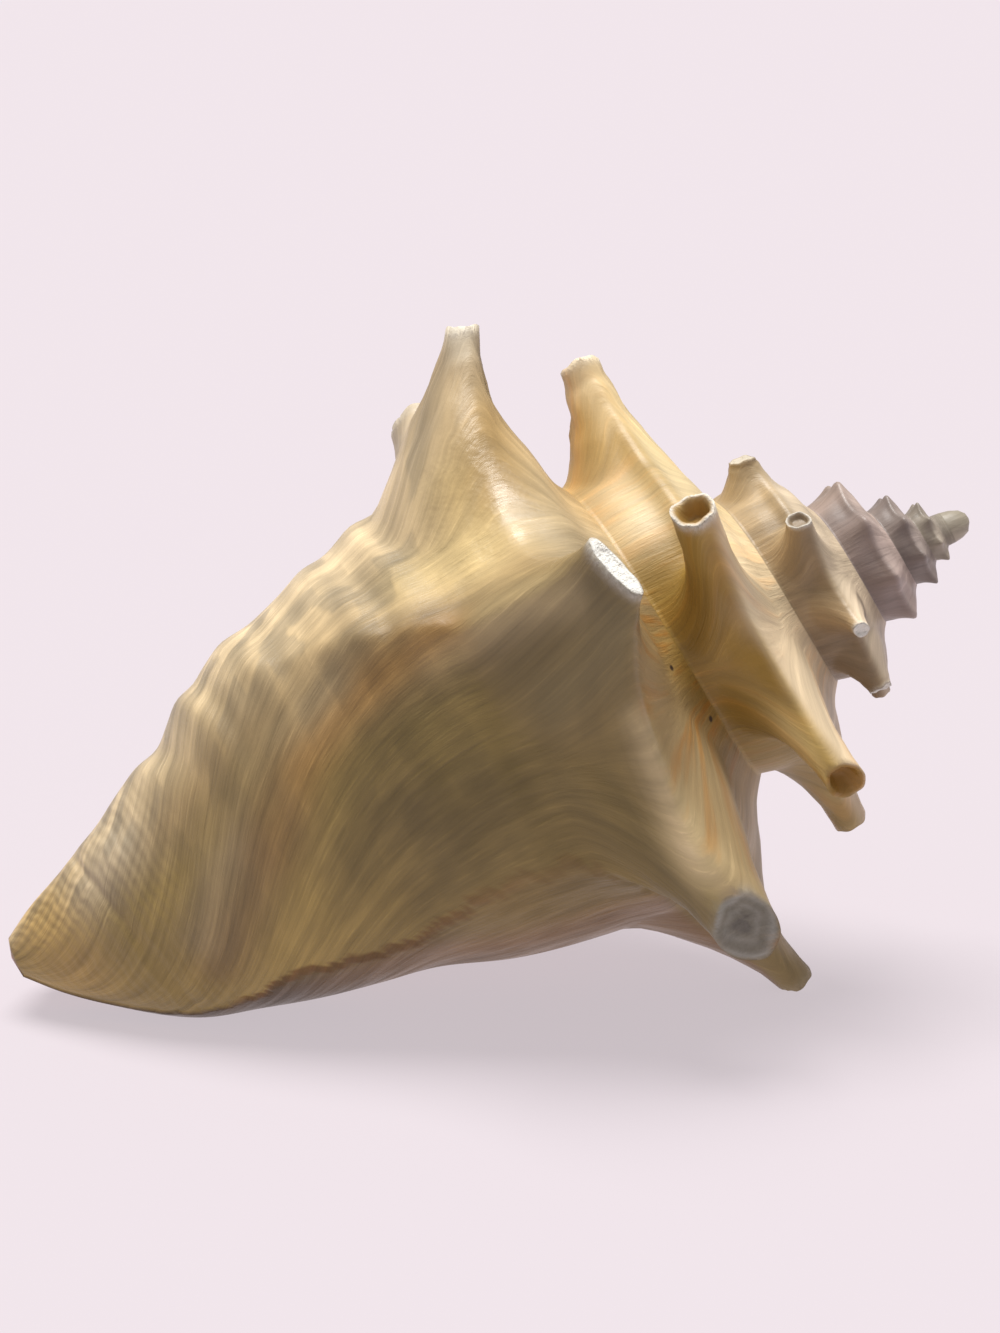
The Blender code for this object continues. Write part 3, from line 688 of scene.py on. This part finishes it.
# soft strokes of colour on the skin: places in the shell's own axes, reach in mm
paintStrokes = [
    ("glossySaddle", [(34, 50, 103), (42, 37, 105)], 12, (0.52, 0.38, 0.17), 0.85),
    ("tallSpineRight", [(26, 62, 91), (35, 47, 95)], 9, (0.32, 0.20, 0.068), 0.8),
    ("paleTallTip", [(17, 83, 89), (18, 78, 91)], 4, (0.80, 0.72, 0.55), 0.8),
    ("paleSlimTip", [(1, 67, 67.5), (2, 61, 69.5)], 5, (0.98, 0.92, 0.72), 0.9),
    ("paleBetween", [(45, 0, 56.6), (43, 5, 57)], 5, (0.60, 0.50, 0.36), 0.6),
    ("yellowBelowSaddle", [(40, 36, 106), (36, 36, 120)], 9, (0.46, 0.345, 0.16), 0.7),
    ("tallSpineFace", [(15, 75, 92), (9, 68, 98)], 7.5, (0.20, 0.13, 0.065), 0.85),
    ("tallSpineBack", [(6, 66, 82), (12, 52, 84)], 11, (0.46, 0.30, 0.13), 0.6),
    # pale streak along the keel crest, partly painted highlight and partly the crest's paler colour
    ("keelCrestHighlight", [(66, -14, 88), (55, -40, 88), (46, -56, 84)], 5.5, (0.66, 0.51, 0.27), 0.95),
    (
        "paleCrest", [(74, 18, 91), (68, 20, 97), (58, 20, 111), (51, 20, 124)],
        5.5, (0.48, 0.36, 0.18), 0.75,
    ),
    (
        "brownGrowthBand", [(53, 24, 118), (44, 16, 147), (42, 9, 158), (38, -5, 172)],
        6.5, (0.29, 0.16, 0.048), 0.9,
    ),
    # lower end of the real brown growth band, painted darker as shade
    ("brownBandPaintedShade", [(41, 3, 165), (34, -14, 180), (25, -26, 193)], 7, (0.25, 0.155, 0.055), 0.8),
    (
        "paleGrowthBand", [(41, 22, 145), (35, 11, 162), (34, -4, 181), (26, -17, 193)],
        6, (0.36, 0.27, 0.15), 0.6,
    ),
    ("goldenFront", [(10, 3, 226), (12, -10, 222), (8, 6, 230)], 13, (0.42, 0.27, 0.09), 0.9),
    ("paleNeck", [(20, 8, 204), (17, 3, 212)], 10, (0.44, 0.36, 0.25), 0.6),
    # painted shade under a broken spine end on the front
    ("shadeBelowBreak", [(79, 10, 85), (72, 3, 93), (61, -1, 102)], 9, (0.15, 0.115, 0.048), 0.75),
    # olive patch on the front, partly painted shade and partly the shell's own olive colour
    ("oliveShadePatch", [(62, -8, 96), (58, -16, 104)], 8, (0.22, 0.15, 0.045), 0.5),
    ("goldenSpineBack", [(4, 56, 74), (0, 62, 70)], 9, (0.52, 0.30, 0.075), 0.7),
    ("paleSpineEdge", [(-2, 66, 66), (8, 52, 66)], 5, (0.66, 0.50, 0.27), 0.7),
    ("paleRamp", [(31, 27, 70), (20, 36, 74)], 8, (0.74, 0.59, 0.36), 0.8),
    # deep ochre down one side of a spine tube, partly painted shade and partly the shell's ochre colour
    (
        "ochreTubeShade", [(42, 16, 66), (46, 8, 67), (38, -6, 73), (34, -20, 68)],
        8.5, (0.27, 0.155, 0.025), 0.85,
    ),
    ("ochreFoot", [(13, 40, 79), (24, 34, 79)], 8, (0.42, 0.26, 0.09), 0.6),
    # painted shade in the gap between two knobs on the spire
    ("shadeBetweenKnobs", [(22, -6, 31.5), (20, -10, 33)], 2.2, (0.10, 0.07, 0.05), 0.8),
    ("paleTubeTop", [(40, -24, 61), (36, -38, 55)], 4.5, (0.66, 0.48, 0.20), 0.8),
]

# the broken ends: chalkiness of the rim and colour of the face
tipTones = {
    0: (0.25, (0.50, 0.42, 0.28)),
    1: (0.1, (0.15, 0.13, 0.085)),
    2: (1.0, (0.78, 0.75, 0.68)),
    3: (0.75, (0.80, 0.74, 0.58)),
    4: (0.5, (0.50, 0.42, 0.28)),
    5: (0.1, (0.38, 0.28, 0.12)),
    6: (0.0, (0.30, 0.17, 0.035)),
    7: (0.9, (0.36, 0.225, 0.07)),
    8: (0.7, (0.88, 0.78, 0.56)),
    11: (0.35, (0.44, 0.35, 0.22)),
    12: (0.7, (0.22, 0.16, 0.10)),
    13: (1.0, (0.62, 0.58, 0.50)),
    14: (0.7, (0.62, 0.57, 0.48)),
}


# the glaze round the opening, and the grey broken face of the lowest spine in sight, whose dark core is
# painted shade in the hole at its centre
glazeTones = {
    "nearSpine": (0.21, 0.14, 0.043),
    "middle": (0.215, 0.120, 0.045),
    "inside": (0.60, 0.35, 0.25),
    "edge": (0.15, 0.07, 0.015),
}
greyFace = {"spine": 1, "core": (0.07, 0.055, 0.035), "halo": (0.34, 0.325, 0.28)}


def strokeMask(points, path, reach):
    best = np.full(len(points), 1e9)
    path = np.array(path, float)
    for first, second in zip(path[:-1], path[1:]):
        step = second - first
        share = np.clip((points - first) @ step / (step @ step), 0.0, 1.0)
        gap = np.linalg.norm(points - first - share[:, None] * step, axis=1)
        best = np.minimum(best, gap)
    return np.exp(-((best / reach) ** 2) * 1.2)


def paintShell(points, sheet, turned, tipRing, tipOwner, insideFrom):
    count, skin = len(points), len(sheet)
    row = sheet[:, 1]
    at = [tone[0] for tone in spiralTones]
    below = np.array([tone[1] for tone in spiralTones])
    above = np.array([tone[2] for tone in spiralTones])
    upper = 1.0 - smoothStep((row - 0.52) / 0.12)
    colour = np.zeros((count, 3))
    for k in range(3):
        side = np.interp(turned, at, below[:, k])
        ramp = np.interp(turned, at, above[:, k])
        colour[:skin, k] = side + (ramp - side) * upper
    colour[skin:insideFrom] = spiralTones[0][1]
    fair = smoothStep((row - 1.12) / 0.3) * (1.0 - smoothStep((turned - 2.0) / 22.0))
    colour[:skin] *= 1.0 + 0.62 * fair[:, None]

    gloss = 0.10 * np.ones(count)
    for name, path, reach, tone, strength in paintStrokes:
        mask = strokeMask(points, path, reach) * strength
        mask[insideFrom:] = 0.0
        colour += (np.array(tone) - colour) * mask[:, None]
        if name in ("glossySaddle", "keelCrestHighlight"):
            gloss += 0.9 * mask
    gloss += 0.45 * strokeMask(points, [(30, 56, 104), (33, 46, 116)], 10)

    glaze = glazeMask(turned, row)
    deep = smoothStep((-98.0 - turned) / 45.0)[:, None]
    nearSpine, middle, inside, edgeTone = (np.array(tone) for tone in glazeTones.values())
    tone = middle * (1 - deep) + inside * deep
    front = smoothStep((-50.0 - turned) / 14.0)[:, None]
    tone = nearSpine * (1 - front) + tone * front
    tone = tone * (1.0 - 0.5 * smoothStep((row - 1.3) / 0.2) * (1 - deep[:, 0]))[:, None]
    colour[:skin] += (tone - colour[:skin]) * glaze[:, None]
    edge = np.clip(4.0 * glazeMask(turned - 1.5, row) * (1.0 - glazeMask(turned + 1.2, row)), 0, 1)
    edge *= 0.35 + 0.65 * smoothStep((row - 1.05) / 0.2)
    edge *= smoothStep((row - 0.86) / 0.1) * (1.0 - smoothStep((row - 1.5) / 0.1))
    colour[:skin] += (edgeTone - colour[:skin]) * (0.85 * edge)[:, None]
    gloss[:skin] += 0.35 * glaze

    chalk = np.zeros(count)
    for owner, (rim, tone) in tipTones.items():
        mine = np.flatnonzero((tipOwner == owner) & (tipRing < 1.6))
        ring = tipRing[mine]
        face = 1.0 - smoothStep((ring - 0.86) / 0.16)
        colour[mine] += (np.array(tone) - colour[mine]) * face[:, None]
        if owner == greyFace["spine"]:
            across = points[mine] - points[mine].mean(axis=0)
            bend = np.arctan2(across[:, 2], across[:, 1])
            ring = ring + 0.09 * np.sin(2 * bend + 0.6) + 0.05 * np.sin(5 * bend + 1.0)
            # the dark core is painted shade in the hole at the middle of the broken face
            core = 1.0 - smoothStep((ring - 0.20) / 0.14)
            halo = 0.5 * np.exp(-(((ring - 0.50) / 0.09) ** 2)) + np.exp(-(((ring - 0.90) / 0.10) ** 2))
            colour[mine] += (np.array(greyFace["core"]) - colour[mine]) * (0.8 * core)[:, None]
            colour[mine] += (np.array(greyFace["halo"]) - colour[mine]) * (0.7 * halo)[:, None]
        edgeRing = np.exp(-(((ring - 0.97) / 0.13) ** 2)) if owner in (6, 7, 12) else face
        pale = rim * np.maximum(edgeRing, 0.5 * np.exp(-(((ring - 1.03) / 0.10) ** 2)))
        chalk[mine] = np.maximum(chalk[mine], pale)
        gloss[mine] *= 1.0 - face

    ribs = np.zeros(count)
    ribs[:skin] = smoothStep((turned - 8.0) / 50.0) * smoothStep((row - 0.72) / 0.14)
    ribs[:skin] = 0.28 * smoothStep((turned + 60.0) / 40.0) * (row > 0.72) + 0.72 * ribs[:skin]
    ribs[:skin] *= 1.0 - glaze
    rust = np.zeros(count)
    onBand = smoothStep((turned + 70.0) / 30.0) * (1.0 - smoothStep((turned - 10.0) / 25.0))
    rust[:skin] = onBand * (1.0 - smoothStep((row - 0.54) / 0.08)) + 0.35 * edge
    spire = smoothStep((-190.0 - turned) / 30.0) * smoothStep((turned + 560.0) / 60.0)
    rust[:skin] += 0.35 * spire
    cords = np.zeros(count)
    cords[:skin] = smoothStep((row - 1.42) / 0.2) * (1.0 - glaze)
    inside = np.zeros(count)
    inside[insideFrom:] = 1.0
    inside[:skin] = glaze * deep[:, 0]
    return colour, {
        "gloss": np.clip(gloss, 0, 1), "chalk": chalk, "ribs": ribs,
        "rust": rust, "cords": cords, "inside": inside,
    }


def makeShell():
    points, faces, sheet, tipRing, tipOwner, insideFrom = shellMesh()
    turned = stretched(sheet[:, 0], sheet[:, 1])
    colour, masks = paintShell(points, sheet, turned, tipRing, tipOwner, insideFrom)
    world = toFrame(points)
    low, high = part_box("shell")
    world = np.clip(world, np.array(low) * 1000.0, np.array(high) * 1000.0)
    mesh = bpy.data.meshes.new("conchShell")
    mesh.from_pydata((world * 0.001).tolist(), [], faces)
    mesh.shade_smooth()

    # growth and ribs as a map: a face on the seam takes both its corners from one turn
    along, across = growthMap(sheet, turned)
    corner = np.zeros((len(mesh.loops), 2), np.float32)
    vertexOf = np.zeros(len(mesh.loops), np.int32)
    mesh.loops.foreach_get("vertex_index", vertexOf)
    skin = len(sheet)
    onSkin = vertexOf < skin
    corner[onSkin, 0] = along[vertexOf[onSkin]] * 0.1
    corner[onSkin, 1] = across[vertexOf[onSkin]] * 0.1
    corner[~onSkin] = points[vertexOf[~onSkin]][:, [1, 2]] * 0.1
    for face in mesh.polygons:
        used = vertexOf[face.loop_start : face.loop_start + face.loop_total]
        if used.max() >= skin:
            continue
        angles = sheet[used, 0]
        if np.ptp(angles) < 100.0:
            continue
        late = angles.min() + 360.0
        for k, vertex in enumerate(used):
            if sheet[vertex, 0] < late - 180.0:
                pair = np.array([[sheet[vertex, 0] + 360.0, 0.0]])
                u, v = growthMap(pair, stretched(pair[:, 0], pair[:, 1]))
                corner[face.loop_start + k] = (u[0] * 0.1, v[0] * 0.1)
    growthUv = mesh.uv_layers.new(name="growthMap")
    growthUv.data.foreach_set("uv", corner.ravel())

    paint = mesh.attributes.new("paint", "FLOAT_COLOR", "POINT")
    flat = np.ones((len(points), 4), np.float32)
    flat[:, :3] = colour
    paint.data.foreach_set("color", flat.ravel())
    for name, values in masks.items():
        layer = mesh.attributes.new(name, "FLOAT", "POINT")
        layer.data.foreach_set("value", values.astype(np.float32))
    shell = bpy.data.objects.new("conchShell", mesh)
    bpy.context.scene.collection.objects.link(shell)
    print("shell mesh", len(mesh.polygons))
    return shell


def newGroup(name, inputs, outputs):
    group = bpy.data.node_groups.new(name, "ShaderNodeTree")
    for title, kind in inputs:
        group.interface.new_socket(name=title, in_out="INPUT", socket_type=kind)
    for title, kind in outputs:
        group.interface.new_socket(name=title, in_out="OUTPUT", socket_type=kind)
    return group, group.nodes.new("NodeGroupInput"), group.nodes.new("NodeGroupOutput")


def put(tree, kind, links, **settings):
    # a node with its settings, its links and its fixed values by socket name or number
    node = tree.nodes.new(kind)
    for key, value in settings.items():
        setattr(node, key, value)
    for key, value in links.items():
        if hasattr(value, "is_output"):
            tree.links.new(value, node.inputs[key])
        else:
            node.inputs[key].default_value = value
    return node


def maths(tree, operation, first, second=0.5, third=0.5, clamp=False):
    links = {0: first, 1: second, 2: third}
    return put(tree, "ShaderNodeMath", links, operation=operation, use_clamp=clamp).outputs[0]


def tint(tree, colour, by):
    tinted = put(tree, "ShaderNodeVectorMath", {0: colour, 1: by}, operation="MULTIPLY")
    return tinted.outputs["Vector"]


def blend(tree, amount, first, second):
    node = tree.nodes.new("ShaderNodeMix")
    node.data_type = "RGBA"
    tree.links.new(amount, node.inputs[0])
    for k, value in ((6, first), (7, second)):
        if hasattr(value, "is_output"):
            tree.links.new(value, node.inputs[k])
        else:
            node.inputs[k].default_value = value
    return node.outputs[2]


def remap(tree, value, low, high, start, end):
    links = {"Value": value, "From Min": low, "From Max": high, "To Min": start, "To Max": end}
    return put(tree, "ShaderNodeMapRange", links, clamp=True).outputs["Result"]


def noiseAt(tree, vector, stretch, detail, rough=0.55):
    scaled = put(tree, "ShaderNodeVectorMath", {0: vector, 1: stretch}, operation="MULTIPLY")
    links = {"Vector": scaled.outputs["Vector"], "Scale": 1.0, "Detail": detail, "Roughness": rough}
    return put(tree, "ShaderNodeTexNoise", links).outputs["Fac"]


def growthGroup():
    group, source, result = newGroup(
        "growthStreaks",
        [("Map", "NodeSocketVector")],
        [("Fine", "NodeSocketFloat"), ("Middle", "NodeSocketFloat"), ("Broad", "NodeSocketFloat")],
    )
    grid = source.outputs["Map"]
    group.links.new(noiseAt(group, grid, (11.0, 0.85, 1.0), 4.0, 0.65), result.inputs["Fine"])
    group.links.new(noiseAt(group, grid, (3.0, 0.40, 1.0), 3.0), result.inputs["Middle"])
    group.links.new(noiseAt(group, grid, (0.85, 0.20, 1.0), 2.0), result.inputs["Broad"])
    return group


def ribGroup():
    group, source, result = newGroup(
        "spiralRibs",
        [("Map", "NodeSocketVector")],
        [("Rib", "NodeSocketFloat"), ("Patch", "NodeSocketFloat"), ("Cord", "NodeSocketFloat")],
    )
    grid = source.outputs["Map"]
    parts = put(group, "ShaderNodeSeparateXYZ", {0: grid})
    drift = noiseAt(group, grid, (0.5, 0.5, 1.0), 2.0)
    bent = maths(group, "MULTIPLY_ADD", parts.outputs["Y"], 7.3, maths(group, "MULTIPLY", drift, 4.0))
    rib = remap(group, maths(group, "SINE", bent), -1.0, 1.0, 0.0, 1.0)
    group.links.new(rib, result.inputs["Rib"])
    stretch = put(group, "ShaderNodeVectorMath", {0: grid, 1: (1.05, 1.15, 1.0)}, operation="MULTIPLY")
    cells = put(
        group,
        "ShaderNodeTexVoronoi",
        {"Vector": stretch.outputs["Vector"], "Scale": 1.0, "Smoothness": 0.35, "Randomness": 0.55},
        feature="SMOOTH_F1",
        distance="CHEBYCHEV",
    )
    shade = put(group, "ShaderNodeSeparateColor", {0: cells.outputs["Color"]})
    group.links.new(shade.outputs[0], result.inputs["Patch"])
    close = maths(group, "MULTIPLY_ADD", parts.outputs["Y"], 25.0, maths(group, "MULTIPLY", drift, 9.0))
    cord = remap(group, maths(group, "SINE", close), -1.0, 1.0, 0.0, 1.0)
    group.links.new(cord, result.inputs["Cord"])
    return group


def ageGroup():
    group, source, result = newGroup(
        "ageMarks",
        [("Position", "NodeSocketVector")],
        [
            ("Cloud", "NodeSocketFloat"),
            ("Grain", "NodeSocketFloat"),
            ("Speck", "NodeSocketFloat"),
            ("Ripple", "NodeSocketFloat"),
        ],
    )
    place = source.outputs["Position"]
    group.links.new(noiseAt(group, place, (38.0, 38.0, 38.0), 4.0), result.inputs["Cloud"])
    group.links.new(noiseAt(group, place, (900.0, 900.0, 900.0), 3.0, 0.7), result.inputs["Grain"])
    group.links.new(noiseAt(group, place, (240.0, 240.0, 240.0), 2.0), result.inputs["Ripple"])
    cells = put(group, "ShaderNodeTexVoronoi", {"Vector": place, "Scale": 100.0}, feature="F1")
    near = remap(group, cells.outputs["Distance"], 0.05, 0.09, 1.0, 0.0)
    pick = put(group, "ShaderNodeSeparateColor", {0: cells.outputs["Color"]})
    few = maths(group, "GREATER_THAN", pick.outputs[0], 0.80)
    group.links.new(maths(group, "MULTIPLY", near, few), result.inputs["Speck"])
    return group


# what can be tuned by eye on the shell's surface
shellSettings = {
    "roughness": 0.46,
    "bumpStrength": 0.75,
    "bumpDistance": 0.0009,
    "chalk": (0.78, 0.76, 0.70, 1.0),
    "insideDeep": (0.60, 0.30, 0.20, 1.0),
    "speck": (0.05, 0.03, 0.02, 1.0),
}


def makeShellMaterial():
    material = bpy.data.materials.new("conchSurface")
    material.use_nodes = True
    tree = material.node_tree
    shader = tree.nodes["Principled BSDF"]
    grid = put(tree, "ShaderNodeUVMap", {}, uv_map="growthMap").outputs["UV"]
    place = put(tree, "ShaderNodeTexCoord", {}).outputs["Object"]
    streaks = put(tree, "ShaderNodeGroup", {}, node_tree=growthGroup())
    ribsAt = put(tree, "ShaderNodeGroup", {}, node_tree=ribGroup())
    age = put(tree, "ShaderNodeGroup", {}, node_tree=ageGroup())
    tree.links.new(grid, streaks.inputs["Map"])
    tree.links.new(grid, ribsAt.inputs["Map"])
    tree.links.new(place, age.inputs["Position"])
    masks = {}
    for name in ("gloss", "chalk", "ribs", "rust", "cords", "inside"):
        masks[name] = put(tree, "ShaderNodeAttribute", {}, attribute_name=name).outputs["Fac"]
    paint = put(tree, "ShaderNodeAttribute", {}, attribute_name="paint").outputs["Color"]
    fine, middle, broad = (streaks.outputs[k] for k in range(3))
    rib, patch, cord = (ribsAt.outputs[k] for k in range(3))
    cloud, grain, speck, ripple = (age.outputs[k] for k in range(4))
    # light and dark along the growth lines
    value = remap(tree, broad, 0.34, 0.66, 0.82, 1.16)
    value = maths(tree, "MULTIPLY", value, remap(tree, middle, 0.32, 0.68, 0.86, 1.14))
    value = maths(tree, "MULTIPLY", value, remap(tree, fine, 0.32, 0.68, 0.90, 1.12))
    value = maths(tree, "MULTIPLY", value, remap(tree, cloud, 0.3, 0.7, 0.90, 1.08))
    squares = remap(tree, patch, 0.2, 0.8, -0.24, 0.15)
    checked = maths(tree, "ADD", squares, remap(tree, rib, 0.0, 1.0, -0.10, 0.10))
    checked = maths(tree, "MULTIPLY_ADD", checked, masks["ribs"], 1.0)
    value = maths(tree, "MULTIPLY", value, checked)
    toned = put(tree, "ShaderNodeVectorMath", {0: paint, "Scale": value}, operation="SCALE")
    colour = toned.outputs["Vector"]

    # greyer patches, rusty streaks, worn pale lines, the pink inside, specks and chalk
    dull = maths(tree, "MULTIPLY", remap(tree, patch, 0.45, 0.2, 0.0, 0.4), masks["ribs"])
    colour = blend(tree, dull, colour, tint(tree, colour, (0.94, 0.99, 1.10)))
    rusty = maths(tree, "MULTIPLY", remap(tree, middle, 0.50, 0.64, 0.0, 0.9), masks["rust"])
    colour = blend(tree, rusty, colour, tint(tree, colour, (0.98, 0.70, 0.42)))
    outside = maths(tree, "SUBTRACT", 1.0, masks["inside"], clamp=True)
    worn = maths(tree, "MULTIPLY", remap(tree, fine, 0.60, 0.76, 0.0, 0.45), outside)
    colour = blend(tree, worn, colour, tint(tree, colour, (1.5, 1.53, 1.58)))
    colour = blend(tree, masks["inside"], colour, shellSettings["insideDeep"])
    speckled = maths(tree, "MULTIPLY", speck, remap(tree, masks["rust"], 0.15, 0.3, 0.0, 1.0))
    colour = blend(tree, speckled, colour, shellSettings["speck"])
    broken = maths(tree, "MULTIPLY", masks["chalk"], remap(tree, grain, 0.3, 0.6, 0.55, 1.0), clamp=True)
    colour = blend(tree, broken, colour, shellSettings["chalk"])
    tree.links.new(colour, shader.inputs["Base Color"])

    shine = maths(tree, "MULTIPLY", masks["gloss"], remap(tree, middle, 0.42, 0.60, 0.25, 1.0))
    rough = maths(tree, "MULTIPLY_ADD", shine, -0.26, shellSettings["roughness"])
    rough = maths(tree, "MULTIPLY_ADD", broken, 0.4, rough)
    tree.links.new(rough, shader.inputs["Roughness"])
    tree.links.new(maths(tree, "MULTIPLY", shine, 0.7), shader.inputs["Coat Weight"])
    shader.inputs["Coat Roughness"].default_value = 0.14
    shader.inputs["Specular IOR Level"].default_value = 0.4

    # fine relief
    height = maths(tree, "MULTIPLY_ADD", fine, 0.35, maths(tree, "MULTIPLY", middle, 0.45))
    height = maths(tree, "MULTIPLY", height, remap(tree, masks["inside"], 0.0, 1.0, 1.0, 0.15))
    height = maths(tree, "MULTIPLY_ADD", maths(tree, "MULTIPLY", rib, masks["ribs"]), 0.25, height)
    height = maths(tree, "MULTIPLY_ADD", maths(tree, "MULTIPLY", cord, masks["cords"]), 0.20, height)
    height = maths(tree, "MULTIPLY_ADD", grain, 0.06, height)
    height = maths(tree, "MULTIPLY_ADD", maths(tree, "MULTIPLY", ripple, masks["gloss"]), 0.55, height)
    height = maths(tree, "MULTIPLY_ADD", maths(tree, "MULTIPLY", grain, masks["chalk"]), 1.2, height)
    links = {
        "Strength": shellSettings["bumpStrength"],
        "Distance": shellSettings["bumpDistance"],
        "Height": height,
    }
    tree.links.new(put(tree, "ShaderNodeBump", links).outputs["Normal"], shader.inputs["Normal"])
    return material


def makeCamera():
    right, up, view, _, _ = axesInFrame()
    camera = {"distance": 900.0, "fromApex": (-105.86, -33.0), "tall": 300.2}
    target = np.array(placing["apex"]) + camera["fromApex"][0] * right
    target = target + camera["fromApex"][1] * up
    place = target + camera["distance"] * view
    data = bpy.data.cameras.new("studioCamera")
    data.sensor_width = 36.0
    data.lens = 36.0 * camera["distance"] / camera["tall"]
    data.clip_end = 20.0
    obj = bpy.data.objects.new("studioCamera", data)
    bpy.context.scene.collection.objects.link(obj)
    turn = Matrix((right, up, view)).transposed()
    obj.matrix_world = Matrix.Translation(Vector(place * 0.001)) @ turn.to_4x4()
    bpy.context.scene.camera = obj


studio = {
    "floor": (0.175, 0.158, 0.167),
    "floorGlow": (0.55, 0.495, 0.525),
    "sky": (0.95, 0.93, 0.95),
    "skyStrength": 0.35,
    "key": 5.0,
    "keyWidth": 38.0,
    "keyColour": (1.0, 0.99, 0.975),
    "keyFrom": (-0.12, 0.08, 0.95),
}


def makeStage():
    for other in bpy.context.selected_objects:
        other.select_set(False)
    bpy.ops.mesh.primitive_plane_add(size=24.0, location=(0.0, 0.0, 0.0))
    floor = bpy.context.active_object
    floor.name = "studioFloor"
    material = bpy.data.materials.new("paleFloor")
    material.use_nodes = True
    shader = material.node_tree.nodes["Principled BSDF"]
    shader.inputs["Base Color"].default_value = studio["floor"] + (1.0,)
    shader.inputs["Roughness"].default_value = 1.0
    shader.inputs["Emission Color"].default_value = studio["floorGlow"] + (1.0,)
    shader.inputs["Emission Strength"].default_value = 1.0
    shader.inputs["Specular IOR Level"].default_value = 0.0
    floor.data.materials.append(material)
    world = bpy.data.worlds.new("studioWorld")
    bpy.context.scene.world = world
    world.use_nodes = True
    backdrop = world.node_tree.nodes["Background"]
    backdrop.inputs["Color"].default_value = studio["sky"] + (1.0,)
    backdrop.inputs["Strength"].default_value = studio["skyStrength"]
    bpy.ops.object.light_add(type="SUN", location=(0.0, 0.0, 1.0))
    key = bpy.context.active_object
    key.name = "softKey"
    key.data.energy = studio["key"]
    key.data.angle = math.radians(studio["keyWidth"])
    key.data.color = studio["keyColour"]
    aim = Vector(studio["keyFrom"])
    key.rotation_euler = aim.to_track_quat("Z", "Y").to_euler()


shell = makeShell()
shell.data.materials.append(makeShellMaterial())
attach(shell, "root")
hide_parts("shell")
makeCamera()
makeStage()
bpy.context.scene.view_settings.view_transform = "Standard"
